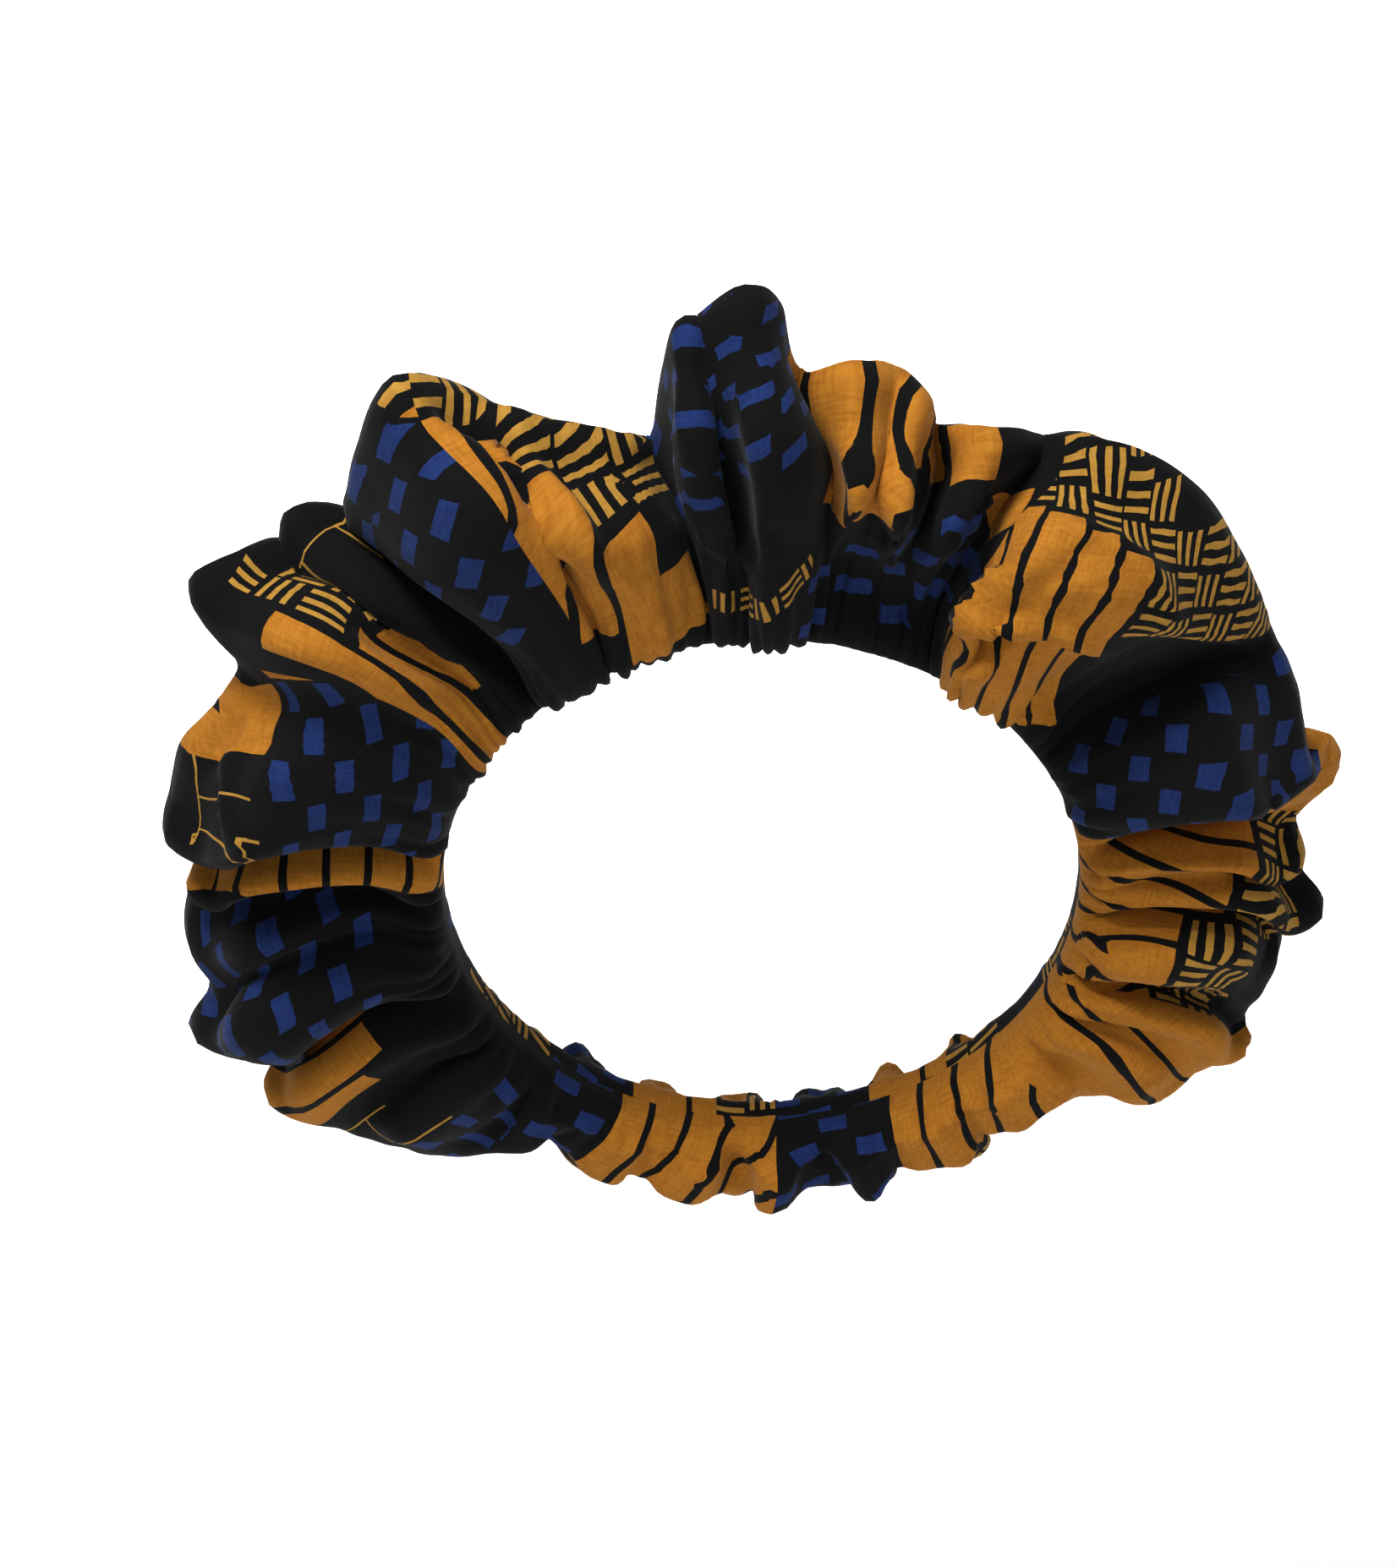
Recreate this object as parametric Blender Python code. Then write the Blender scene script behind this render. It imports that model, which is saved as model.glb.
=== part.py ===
"""Puff headband: a wide cotton tube gathered on an elastic ring.

Metres, +Z up. The ring leans so that its crown stands forward (-Y) of its nape.
"""
import math

import bpy
import numpy as np

# Driving sizes
MM = 0.001
RING_LEAN = math.radians(30.0)
INNER_RADIUS = 90.0
CLOTH_WALL = 1.2
CASING_HALF = 7.0
CASING_STEP = 0.4
TIP_HALF_MIN = 3.0
TIP_HALF_SHARE = 0.24
SEAM_GAP = 0.4
GATHER_RADIAL = 0.25
GATHER_RISE = 1.0
STEPS_PER_FOLD = 2
BACK_RISE = 15.0
BACK_SWING = 4.5
NAPE_FOLDS = 13
NAPE_START = 494.0
NAPE_END = 579.0
NAPE_REACH = 119.0
NAPE_REACH_SWING = 2.0
NAPE_RIDGE_RISE = 18.0
NAPE_VALLEY_RISE = 10.0
NAPE_TIP_RISE = 1.0
NAPE_SWAY_ANGLE = 1.4
NAPE_SWAY_REACH = 2.0
NAPE_SWAY_RISE = 0.18
ELASTIC_INNER_RADIUS = 91.6
ELASTIC_THICKNESS = 1.2
ELASTIC_WIDTH = 8.0
ELASTIC_STEPS = 72

# Folds of the front layer, from the left of the nape over the crown to the right.
# Angles are degrees clockwise from the crown, seen from the front: at the elastic,
# at three tenths and seven tenths of the way out, and at the outer edge.
# Reach is the outer radius; rises are millimetres forward of the ring plane.
FOLD_COLUMNS = ("name", "at_elastic", "near", "far", "edge", "reach", "rise_near", "rise_far", "rise_edge")
FOLDS = (
    ("low_left_1", 225.5, 226, 226, 224, 138, 14, 12, 2),
    ("low_left_2", 232.5, 235, 233, 230, 142, 22, 22, 6),
    ("low_left_3", 237.5, 240, 238, 235, 152, 13, 13, 2),
    ("low_left_4", 243, 247, 246, 242.5, 162, 20, 22, 6),
    ("low_left_under", 250, 254, 249.5, 245.5, 154, 9, 9, -2),
    ("left_drop_edge", 254, 258, 253.5, 248.5, 154, 26, 30, 6),
    ("left_drop_tip", 258, 263, 258.5, 252, 172, 28, 32, 2),
    ("left_drop_dip", 262, 268, 264, 257, 161, 18, 22, 2),
    ("left_drop_top", 265.5, 271, 269, 264, 164, 15, 24, 2),
    ("left_drop_under", 270, 274.5, 272.5, 269, 161, 7, 8, -4),
    ("orange_roll", 273, 278, 276.5, 272, 160, 18, 20, 6),
    ("orange_roll_under", 282, 285, 281, 275.5, 157, 7, 7, -6),
    ("left_puff_edge", 285, 289, 285, 279, 166, 26, 34, 8),
    ("left_puff_mid", 288, 294, 290.5, 283, 166, 30, 38, 4),
    ("left_puff_top", 293, 299, 296.5, 289, 166, 30, 37, 4),
    ("left_shoulder", 297, 304, 302, 296, 161, 27, 33, 6),
    ("left_notch", 301, 308, 307, 301, 162, 24, 29, 4),
    ("left_ridge", 305.5, 313, 312, 305.5, 183, 24, 34, 6),
    ("left_ridge_top", 308.5, 315, 315, 309, 178, 18, 26, 2),
    ("left_groove", 311.5, 317, 317, 311.5, 170, 15, 20, -4),
    ("small_ridge", 314.5, 319, 319, 314.5, 173, 17, 22, -6),
    ("small_under", 318.5, 321.5, 321, 317.5, 162, 7, 7, -8),
    ("crown_left_low", 321.5, 325, 324, 320.5, 168, 20, 26, 0),
    ("crown_left_face", 325, 329, 329, 325.5, 180, 28, 36, 4),
    ("crown_left_ridge", 330, 335, 335, 331, 192, 28, 37, 6),
    ("crown_left_groove", 333, 337, 337, 334, 177, 21, 27, 0),
    ("stripe_ridge", 336, 339, 339, 337, 172, 24, 31, 4),
    ("stripe_face", 339, 342, 342, 339, 166, 25, 31, 4),
    ("stripe_end", 343.5, 346, 346, 343, 158, 22, 27, 2),
    ("stripe_fall", 347.5, 350, 349, 346, 152, 14, 18, 0),
    ("peak_under", 350.5, 352, 351.3, 349, 148, 9, 11, -6),
    ("peak_left", 353.5, 354.5, 353.5, 353, 183, 18, 26, 6),
    ("peak_groove", 356.5, 357, 355.8, 355.2, 186, 17, 21, 4),
    ("peak", 359.5, 359.5, 359, 358.2, 194, 26, 34, 6),
    ("peak_right", 362.5, 363, 363, 360.4, 186, 24, 30, 2),
    ("peak_foot", 366.5, 366.5, 366.5, 362.4, 166, 12, 15, -2),
    ("crest_1", 369.5, 368.5, 368, 366.8, 174, 8, 30, 6),
    ("crest_groove", 373, 371.5, 370.5, 370.5, 171, 8, 24, 0),
    ("crest_2", 376.5, 375, 373.5, 373.3, 167, 8, 31, 6),
    ("crest_notch", 380, 377, 376.3, 376.4, 153, 7, 12, -6),
    ("crest_3", 383, 380, 378.8, 379.5, 163, 8, 25, 6),
    ("valley_face", 386.5, 382.5, 381.5, 383, 164, 8, 13, 2),
    ("roll_under", 389.5, 385, 384.5, 386.5, 162, 7, 9, -4),
    ("roll_edge", 392.5, 386, 385.5, 389.5, 172, 28, 34, 6),
    ("roll_mid", 395.5, 388, 389, 393.5, 175, 33, 37, 6),
    ("dome_1", 400, 394, 393.5, 399, 175, 28, 39, 8),
    ("dome_2", 405.5, 401, 399, 406, 169, 17, 35, 8),
    ("dome_end", 411, 407, 405, 412, 164, 9, 25, 4),
    ("dome_under", 415.5, 412, 413, 417, 160, 7, 9, -2),
    ("right_face_1", 419, 415, 415, 421, 160, 18, 26, 4),
    ("right_face_2", 423.5, 420, 420, 427, 157, 26, 32, 6),
    ("right_edge", 429.5, 427, 428, 433, 155, 28, 33, 8),
    ("right_lobe", 433, 431.5, 432.5, 436, 165, 12, 12, -8),
    ("right_under", 438, 435, 435.5, 440, 151, 7, 7, -4),
    ("fold_1", 441, 438, 438.5, 444, 151, 20, 24, 6),
    ("fold_1_groove", 445, 441.5, 441.5, 447.5, 150, 15, 18, 0),
    ("fold_2", 448.5, 445, 445, 451, 157, 20, 26, 6),
    ("fold_2_groove", 453, 449, 448.5, 455, 150, 8, 10, -2),
    ("fold_3", 456, 452.5, 452, 458.5, 149, 24, 23, 4),
    ("fold_3_face", 460.5, 457, 459, 464, 149, 26, 19, 2),
    ("fold_3_groove", 466.5, 464, 466, 470, 150, 8, 8, -4),
    ("low_right_1", 469.5, 467, 467, 472, 153, 20, 21, 4),
    ("low_right_groove", 474.5, 472, 473, 477, 146, 12, 12, 0),
    ("low_right_2", 478.5, 476, 478, 482, 139, 20, 19, 6),
    ("low_right_end", 484, 483, 484, 487, 125, 11, 11, 2),
)


def nape_folds():
    """Small uneven gathers behind the neck, ridge and valley in turn."""
    rows = []
    for index in range(NAPE_FOLDS):
        angle = NAPE_START + (NAPE_END - NAPE_START) * index / (NAPE_FOLDS - 1)
        sway = math.sin(2.4 * index)
        edge = angle + NAPE_SWAY_ANGLE * sway
        ridge = index % 2 == 0
        reach = NAPE_REACH + (NAPE_REACH_SWING if ridge else -NAPE_REACH_SWING) - NAPE_SWAY_REACH * sway
        rise = (NAPE_RIDGE_RISE if ridge else NAPE_VALLEY_RISE) * (1 + NAPE_SWAY_RISE * sway)
        rows.append((angle, angle, edge, edge, reach, rise, rise * 0.9, NAPE_TIP_RISE))
    return rows


def section_controls(fold, turn):
    """Control points (angle, radius, rise) of one closed section of the tube."""
    at_elastic, near, far, edge, reach, rise_near, rise_far, rise_edge = fold
    span = reach - INNER_RADIUS
    back = BACK_RISE + BACK_SWING * math.cos(math.pi * turn) + 1.5 * math.sin(1.7 * turn)
    casing = INNER_RADIUS + CASING_STEP
    tip = TIP_HALF_MIN + TIP_HALF_SHARE * rise_far
    back_near = at_elastic + (edge - at_elastic) * 0.3
    back_far = at_elastic + (edge - at_elastic) * 0.7
    return (
        (at_elastic, INNER_RADIUS, 0.0),
        (at_elastic, casing, CASING_HALF),
        (at_elastic + (near - at_elastic) * 0.4, INNER_RADIUS + 6.0, 5.0 + rise_near * 0.55),
        (near, INNER_RADIUS + span * 0.3, rise_near),
        (far, INNER_RADIUS + span * 0.7, rise_far),
        (edge, reach - tip, rise_edge + tip),
        (edge, reach, rise_edge),
        (edge, reach - tip, rise_edge - tip),
        (back_far, INNER_RADIUS + span * 0.68, -back),
        (back_near, INNER_RADIUS + span * 0.3, -back * 0.95),
        (at_elastic, INNER_RADIUS + 6.0, -5.0 - back * 0.45),
        (at_elastic, casing, -CASING_HALF),
    )


# Places along a section, counted in control points, where the cloth is sampled.
SECTION_STOPS = (0, 1, 1.7, 2.35, 3, 3.5, 4, 4.5, 5, 6, 7, 7.5, 8, 8.6, 9.3, 10, 11)


def closed_spline(points, places):
    """Smooth closed curve through points along the first axis, read at places."""
    count = points.shape[0]
    places = np.asarray(places, dtype=float)
    base = np.floor(places).astype(int)
    t = (places - base).reshape((-1,) + (1,) * (points.ndim - 1))
    p0 = points[(base - 1) % count]
    p1 = points[base % count]
    p2 = points[(base + 1) % count]
    p3 = points[(base + 2) % count]
    return p1 + 0.5 * t * (p2 - p0 + t * (2 * p0 - 5 * p1 + 4 * p2 - p3 + t * (3 * (p1 - p2) + p3 - p0)))


def fold_grid():
    """Angle, radius and rise of every station (rows) and section stop (columns)."""
    rows = [row[1:] for row in FOLDS] + nape_folds()
    controls = np.array([section_controls(row, index) for index, row in enumerate(rows)], dtype=float)
    count = len(rows)
    # Whole turns are taken out before smoothing so that the last fold meets the first.
    drift = 360.0 * np.arange(count) / count
    controls[:, :, 0] -= drift[:, None]
    start = seam_place(controls[:, 0, 0] + drift)
    places = start + np.arange(count * STEPS_PER_FOLD) / STEPS_PER_FOLD
    grid = closed_spline(controls, places)
    grid[:, :, 0] += 360.0 * places[:, None] / count
    grid = np.swapaxes(closed_spline(np.swapaxes(grid, 0, 1), SECTION_STOPS), 0, 1)
    return grid


def seam_place(angles):
    """Fold count at which the strip's cross seam lies, the middle of the nape."""
    return int(np.argmin(np.abs(angles - 540.0)))


def add_gathers(grid):
    """Small gathers on the elastic, fading out within a few millimetres of it."""
    fade = np.clip((INNER_RADIUS + 22.0 - grid[:, :, 1]) / 16.0, 0.0, 1.0)
    side = np.where(np.arange(grid.shape[0]) % 2 == 0, 1.0, -1.0)[:, None]
    front = np.sign(grid[:, :, 2]) * (np.abs(grid[:, :, 2]) > CASING_HALF + 0.5)
    grid[:, :, 1] += side * GATHER_RADIAL * (np.abs(grid[:, :, 2]) <= CASING_HALF + 0.5)
    grid[:, :, 2] += side * front * GATHER_RISE * fade
    return grid


def ring_points(angle, radius, rise):
    """World points in metres from clockwise degrees, radius and rise."""
    turn = np.radians(angle)
    across = radius * np.sin(turn)
    upward = radius * np.cos(turn)
    y = -math.sin(RING_LEAN) * upward - math.cos(RING_LEAN) * rise
    z = math.cos(RING_LEAN) * upward - math.sin(RING_LEAN) * rise
    return np.stack([across, y, z], axis=-1) * MM


def vertex_normals(points):
    """Unit normals of a sheet that closes along both axes, pointing out of the tube."""
    along = np.roll(points, -1, axis=0) - np.roll(points, 1, axis=0)
    around = np.roll(points, -1, axis=1) - np.roll(points, 1, axis=1)
    normal = np.cross(around, along)
    return normal / np.linalg.norm(normal, axis=-1, keepdims=True)


def add_object(name, vertices, faces, colour, roughness):
    """One named solid with its own plain material."""
    mesh = bpy.data.meshes.new(name)
    mesh.from_pydata([tuple(v) for v in vertices], [], faces)
    mesh.validate()
    material = bpy.data.materials.new(name + "_material")
    material.use_nodes = True
    shader = material.node_tree.nodes["Principled BSDF"]
    shader.inputs["Base Color"].default_value = colour
    shader.inputs["Roughness"].default_value = roughness
    shader.inputs["Metallic"].default_value = 0.0
    mesh.materials.append(material)
    item = bpy.data.objects.new(name, mesh)
    bpy.context.scene.collection.objects.link(item)
    return item


def build_cover():
    """Gathered cotton tube: one strip, its two ends meeting at a cross seam."""
    grid = add_gathers(fold_grid())
    points = ring_points(grid[:, :, 0], grid[:, :, 1], grid[:, :, 2])
    normal = vertex_normals(points)
    stations, around = points.shape[:2]
    points = np.concatenate([points, points[:1]])
    normal = np.concatenate([normal, normal[:1]])
    # At the nape the strip runs toward -X; the ends are drawn apart by the seam gap.
    points[0, :, 0] -= SEAM_GAP * 0.5 * MM
    points[-1, :, 0] += SEAM_GAP * 0.5 * MM
    half = CLOTH_WALL * 0.5 * MM
    outer = (points + normal * half).reshape(-1, 3)
    inner = (points - normal * half).reshape(-1, 3)
    total = len(outer)
    faces = []
    for i in range(stations):
        for k in range(around):
            a = i * around + k
            b = i * around + (k + 1) % around
            c = b + around
            d = a + around
            faces.append((a, b, c, d))
            faces.append((total + a, total + d, total + c, total + b))
    last = stations * around
    for k in range(around):
        j = (k + 1) % around
        faces.append((k, total + k, total + j, j))
        faces.append((last + k, last + j, total + last + j, total + last + k))
    return add_object("cover", np.concatenate([outer, inner]), faces, (0.05, 0.05, 0.055, 1.0), 0.85)


def build_elastic():
    """Flat woven elastic ring that lies loose in the tube along its inner edge."""
    low = ELASTIC_INNER_RADIUS
    high = low + ELASTIC_THICKNESS
    half = ELASTIC_WIDTH * 0.5
    corners = ((low, -half), (low, half), (high, half), (high, -half))
    angles = np.arange(ELASTIC_STEPS) * 360.0 / ELASTIC_STEPS
    rings = [ring_points(angles, radius, np.full(ELASTIC_STEPS, rise)) for radius, rise in corners]
    vertices = np.stack(rings, axis=1).reshape(-1, 3)
    faces = []
    for i in range(ELASTIC_STEPS):
        j = (i + 1) % ELASTIC_STEPS
        for k in range(4):
            m = (k + 1) % 4
            faces.append((i * 4 + k, j * 4 + k, j * 4 + m, i * 4 + m))
    return add_object("elastic", vertices, faces, (0.75, 0.74, 0.70, 1.0), 0.7)


for old in list(bpy.data.objects):
    bpy.data.objects.remove(old)
build_cover()
build_elastic()
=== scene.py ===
import math

import bpy
import numpy as np
from mathutils import Matrix, Vector
from mathutils.kdtree import KDTree


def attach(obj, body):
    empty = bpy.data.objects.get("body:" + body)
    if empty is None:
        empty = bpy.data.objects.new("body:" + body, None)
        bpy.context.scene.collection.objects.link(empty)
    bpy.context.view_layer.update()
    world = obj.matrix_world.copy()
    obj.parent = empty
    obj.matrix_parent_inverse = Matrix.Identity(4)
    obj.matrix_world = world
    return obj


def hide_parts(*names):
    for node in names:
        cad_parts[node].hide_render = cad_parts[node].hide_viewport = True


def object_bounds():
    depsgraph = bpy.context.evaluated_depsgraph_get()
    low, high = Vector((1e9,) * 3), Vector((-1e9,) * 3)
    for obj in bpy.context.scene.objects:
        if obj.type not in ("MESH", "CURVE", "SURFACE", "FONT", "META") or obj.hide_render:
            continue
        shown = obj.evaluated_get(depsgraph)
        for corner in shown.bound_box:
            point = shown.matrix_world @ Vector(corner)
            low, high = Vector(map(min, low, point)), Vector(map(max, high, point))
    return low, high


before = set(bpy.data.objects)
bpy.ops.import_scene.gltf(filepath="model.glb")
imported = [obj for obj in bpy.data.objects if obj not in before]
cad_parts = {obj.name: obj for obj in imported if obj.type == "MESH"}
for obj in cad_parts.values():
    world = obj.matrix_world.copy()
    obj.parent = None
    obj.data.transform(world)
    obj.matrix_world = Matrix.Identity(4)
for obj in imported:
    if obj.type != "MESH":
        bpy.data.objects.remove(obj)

start_box = [list(corner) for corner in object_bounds()]

# Cover: a long strip of printed plain-weave cotton, sewn to a tube and gathered on the elastic,
# so that it stands off the ring in deep puffs. Its ends meet in one cross seam at the nape,
# and the long seam lies just behind the outer edge.
MM = 0.001
RING_LEAN = math.radians(30.0)
INNER_RADIUS = 90.0
CLOTH_WALL = 1.0
CASING_HALF = 7.0
CASING_STEP = 0.4
TIP_HALF_MIN = 3.0
TIP_HALF_SHARE = 0.24
BACK_RISE = 15.0
BACK_SWING = 4.5
BACK_RIPPLE = 1.5
BACK_RIPPLE_TURN = 1.7
BACK_NEAR_SHARE = 0.95
BACK_SHOULDER_SHARE = 0.45
FRONT_SHOULDER_SHARE = 0.55
SHOULDER_OUT = 6.0
SHOULDER_RISE = 5.0
SHOULDER_TURN = 0.4
NEAR_OUT = 0.3
FAR_OUT = 0.7
BACK_FAR_OUT = 0.68
NAPE_FOLDS = 13
NAPE_START = 494.0
NAPE_END = 579.0
NAPE_REACH = 119.0
NAPE_REACH_SWING = 2.0
NAPE_RIDGE_RISE = 18.0
NAPE_VALLEY_RISE = 10.0
NAPE_TIP_RISE = 1.0
NAPE_FAR_SHARE = 0.9
NAPE_SWAY_TURN = 2.4
NAPE_SWAY_ANGLE = 1.4
NAPE_SWAY_REACH = 2.0
NAPE_SWAY_RISE = 0.18
STEPS_PER_FOLD = 8
FRONT_STEPS = 43
BACK_STEPS = 29
CLOTH_LENGTH = 1.15

# Folds of the front layer, as in the solids: degrees clockwise from the crown at the elastic,
# near it, far out and at the outer edge, then outer radius and rises in millimetres.
FOLDS = (
    ("low_left_1", 225.5, 226, 226, 224, 138, 14, 12, 2),
    ("low_left_2", 232.5, 235, 233, 230, 142, 22, 22, 6),
    ("low_left_3", 237.5, 240, 238, 235, 152, 13, 13, 2),
    ("low_left_4", 243, 247, 246, 242.5, 162, 20, 22, 6),
    ("low_left_under", 250, 254, 249.5, 245.5, 154, 9, 9, -2),
    ("left_drop_edge", 254, 258, 253.5, 248.5, 154, 26, 30, 6),
    ("left_drop_tip", 258, 263, 258.5, 252, 172, 28, 32, 2),
    ("left_drop_dip", 262, 268, 264, 257, 161, 18, 22, 2),
    ("left_drop_top", 265.5, 271, 269, 264, 164, 15, 24, 2),
    ("left_drop_under", 270, 274.5, 272.5, 269, 161, 7, 8, -4),
    ("orange_roll", 273, 278, 276.5, 272, 160, 18, 20, 6),
    ("orange_roll_under", 282, 285, 281, 275.5, 157, 7, 7, -6),
    ("left_puff_edge", 285, 289, 285, 279, 166, 26, 34, 8),
    ("left_puff_mid", 288, 294, 290.5, 283, 166, 30, 38, 4),
    ("left_puff_top", 293, 299, 296.5, 289, 166, 30, 37, 4),
    ("left_shoulder", 297, 304, 302, 296, 161, 27, 33, 6),
    ("left_notch", 301, 308, 307, 301, 162, 24, 29, 4),
    ("left_ridge", 305.5, 313, 312, 305.5, 183, 24, 34, 6),
    ("left_ridge_top", 308.5, 315, 315, 309, 178, 18, 26, 2),
    ("left_groove", 311.5, 317, 317, 311.5, 170, 15, 20, -4),
    ("small_ridge", 314.5, 319, 319, 314.5, 173, 17, 22, -6),
    ("small_under", 318.5, 321.5, 321, 317.5, 162, 7, 7, -8),
    ("crown_left_low", 321.5, 325, 324, 320.5, 168, 20, 26, 0),
    ("crown_left_face", 325, 329, 329, 325.5, 180, 28, 36, 4),
    ("crown_left_ridge", 330, 335, 335, 331, 192, 28, 37, 6),
    ("crown_left_groove", 333, 337, 337, 334, 177, 21, 27, 0),
    ("stripe_ridge", 336, 339, 339, 337, 172, 24, 31, 4),
    ("stripe_face", 339, 342, 342, 339, 166, 25, 31, 4),
    ("stripe_end", 343.5, 346, 346, 343, 158, 22, 27, 2),
    ("stripe_fall", 347.5, 350, 349, 346, 152, 14, 18, 0),
    ("peak_under", 350.5, 352, 351.3, 349, 148, 9, 11, -6),
    ("peak_left", 353.5, 354.5, 353.5, 353, 183, 18, 26, 6),
    ("peak_groove", 356.5, 357, 355.8, 355.2, 186, 17, 21, 4),
    ("peak", 359.5, 359.5, 359, 358.2, 194, 26, 34, 6),
    ("peak_right", 362.5, 363, 363, 360.4, 186, 24, 30, 2),
    ("peak_foot", 366.5, 366.5, 366.5, 362.4, 166, 12, 15, -2),
    ("crest_1", 369.5, 368.5, 368, 366.8, 174, 8, 30, 6),
    ("crest_groove", 373, 371.5, 370.5, 370.5, 171, 8, 24, 0),
    ("crest_2", 376.5, 375, 373.5, 373.3, 167, 8, 31, 6),
    ("crest_notch", 380, 377, 376.3, 376.4, 153, 7, 12, -6),
    ("crest_3", 383, 380, 378.8, 379.5, 163, 8, 25, 6),
    ("valley_face", 386.5, 382.5, 381.5, 383, 164, 8, 13, 2),
    ("roll_under", 389.5, 385, 384.5, 386.5, 162, 7, 9, -4),
    ("roll_edge", 392.5, 386, 385.5, 389.5, 172, 28, 34, 6),
    ("roll_mid", 395.5, 388, 389, 393.5, 175, 33, 37, 6),
    ("dome_1", 400, 394, 393.5, 399, 175, 28, 39, 8),
    ("dome_2", 405.5, 401, 399, 406, 169, 17, 35, 8),
    ("dome_end", 411, 407, 405, 412, 164, 9, 25, 4),
    ("dome_under", 415.5, 412, 413, 417, 160, 7, 9, -2),
    ("right_face_1", 419, 415, 415, 421, 160, 18, 26, 4),
    ("right_face_2", 423.5, 420, 420, 427, 157, 26, 32, 6),
    ("right_edge", 429.5, 427, 428, 432, 156, 28, 33, 8),
    ("right_lobe", 432, 430.5, 431, 433.6, 161.5, 12, 15, -8),
    ("right_lobe_mid", 433.5, 431.5, 432.5, 435.8, 164, 12, 16, -9),
    ("right_lobe_low", 435, 433, 434, 438, 161, 10, 13, -9),
    ("right_under", 438, 435.5, 436, 440, 150, 7, 7, -4),
    ("fold_1", 441, 438, 438.5, 444, 151, 20, 24, 6),
    ("fold_1_groove", 445, 441.5, 441.5, 447.5, 150, 15, 18, 0),
    ("fold_2", 448.5, 445, 445, 451, 157, 20, 26, 6),
    ("fold_2_groove", 453, 449, 448.5, 455, 150, 8, 10, -2),
    ("fold_3", 456, 452.5, 452, 458.5, 149, 24, 23, 4),
    ("fold_3_face", 460.5, 457, 459, 464, 149, 26, 19, 2),
    ("fold_3_groove", 466.5, 464, 466, 470, 150, 8, 8, -4),
    ("low_right_1", 469.5, 467, 467, 472, 153, 20, 21, 4),
    ("low_right_groove", 474.5, 472, 473, 477, 146, 12, 12, 0),
    ("low_right_2", 478.5, 476, 478, 482, 139, 20, 19, 6),
    ("low_right_end", 484, 483, 484, 487, 125, 11, 11, 2),
)


def nape_folds():
    """Rows for the small folds of the hidden nape, a ridge and a valley by turns."""
    rows = []
    for index in range(NAPE_FOLDS):
        angle = NAPE_START + (NAPE_END - NAPE_START) * index / (NAPE_FOLDS - 1)
        sway = math.sin(NAPE_SWAY_TURN * index)
        edge = angle + NAPE_SWAY_ANGLE * sway
        ridge = index % 2 == 0
        reach = NAPE_REACH + (NAPE_REACH_SWING if ridge else -NAPE_REACH_SWING) - NAPE_SWAY_REACH * sway
        rise = (NAPE_RIDGE_RISE if ridge else NAPE_VALLEY_RISE) * (1 + NAPE_SWAY_RISE * sway)
        name = "nape_%d" % (index + 1)
        rows.append((name, angle, angle, edge, edge, reach, rise, rise * NAPE_FAR_SHARE, NAPE_TIP_RISE))
    return rows


def section_controls(fold, turn):
    """Twelve places round the tube at one fold, from the elastic over the front and back again."""
    at_elastic, near, far, edge, reach, rise_near, rise_far, rise_edge = fold
    span = reach - INNER_RADIUS
    ripple = BACK_RIPPLE * math.sin(BACK_RIPPLE_TURN * turn)
    back = BACK_RISE + BACK_SWING * math.cos(math.pi * turn) + ripple
    shoulder = INNER_RADIUS + SHOULDER_OUT
    near_out = INNER_RADIUS + span * NEAR_OUT
    casing = INNER_RADIUS + CASING_STEP
    tip = TIP_HALF_MIN + TIP_HALF_SHARE * rise_far
    back_near = at_elastic + (edge - at_elastic) * NEAR_OUT
    back_far = at_elastic + (edge - at_elastic) * FAR_OUT
    front_shoulder = at_elastic + (near - at_elastic) * SHOULDER_TURN
    return (
        (at_elastic, INNER_RADIUS, 0.0),
        (at_elastic, casing, CASING_HALF),
        (front_shoulder, shoulder, SHOULDER_RISE + rise_near * FRONT_SHOULDER_SHARE),
        (near, near_out, rise_near),
        (far, INNER_RADIUS + span * FAR_OUT, rise_far),
        (edge, reach - tip, rise_edge + tip),
        (edge, reach, rise_edge),
        (edge, reach - tip, rise_edge - tip),
        (back_far, INNER_RADIUS + span * BACK_FAR_OUT, -back),
        (back_near, near_out, -back * BACK_NEAR_SHARE),
        (at_elastic, shoulder, -SHOULDER_RISE - back * BACK_SHOULDER_SHARE),
        (at_elastic, casing, -CASING_HALF),
    )


def closed_spline(points, places):
    """Points on the smooth closed curve through the given ones, at places counted in points."""
    count = points.shape[0]
    places = np.asarray(places, dtype=float)
    base = np.floor(places).astype(int)
    t = (places - base).reshape((-1,) + (1,) * (points.ndim - 1))
    p0 = points[(base - 1) % count]
    p1 = points[base % count]
    p2 = points[(base + 1) % count]
    p3 = points[(base + 2) % count]
    return p1 + 0.5 * t * (p2 - p0 + t * (2 * p0 - 5 * p1 + 4 * p2 - p3 + t * (3 * (p1 - p2) + p3 - p0)))


def ring_points(angle, radius, rise):
    """Places on the leaning ring, from degrees, radius and rise to the front."""
    turn = np.radians(angle)
    across = radius * np.sin(turn)
    upward = radius * np.cos(turn)
    y = -math.sin(RING_LEAN) * upward - math.cos(RING_LEAN) * rise
    z = math.cos(RING_LEAN) * upward - math.sin(RING_LEAN) * rise
    return np.stack([across, y, z], axis=-1)


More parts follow.
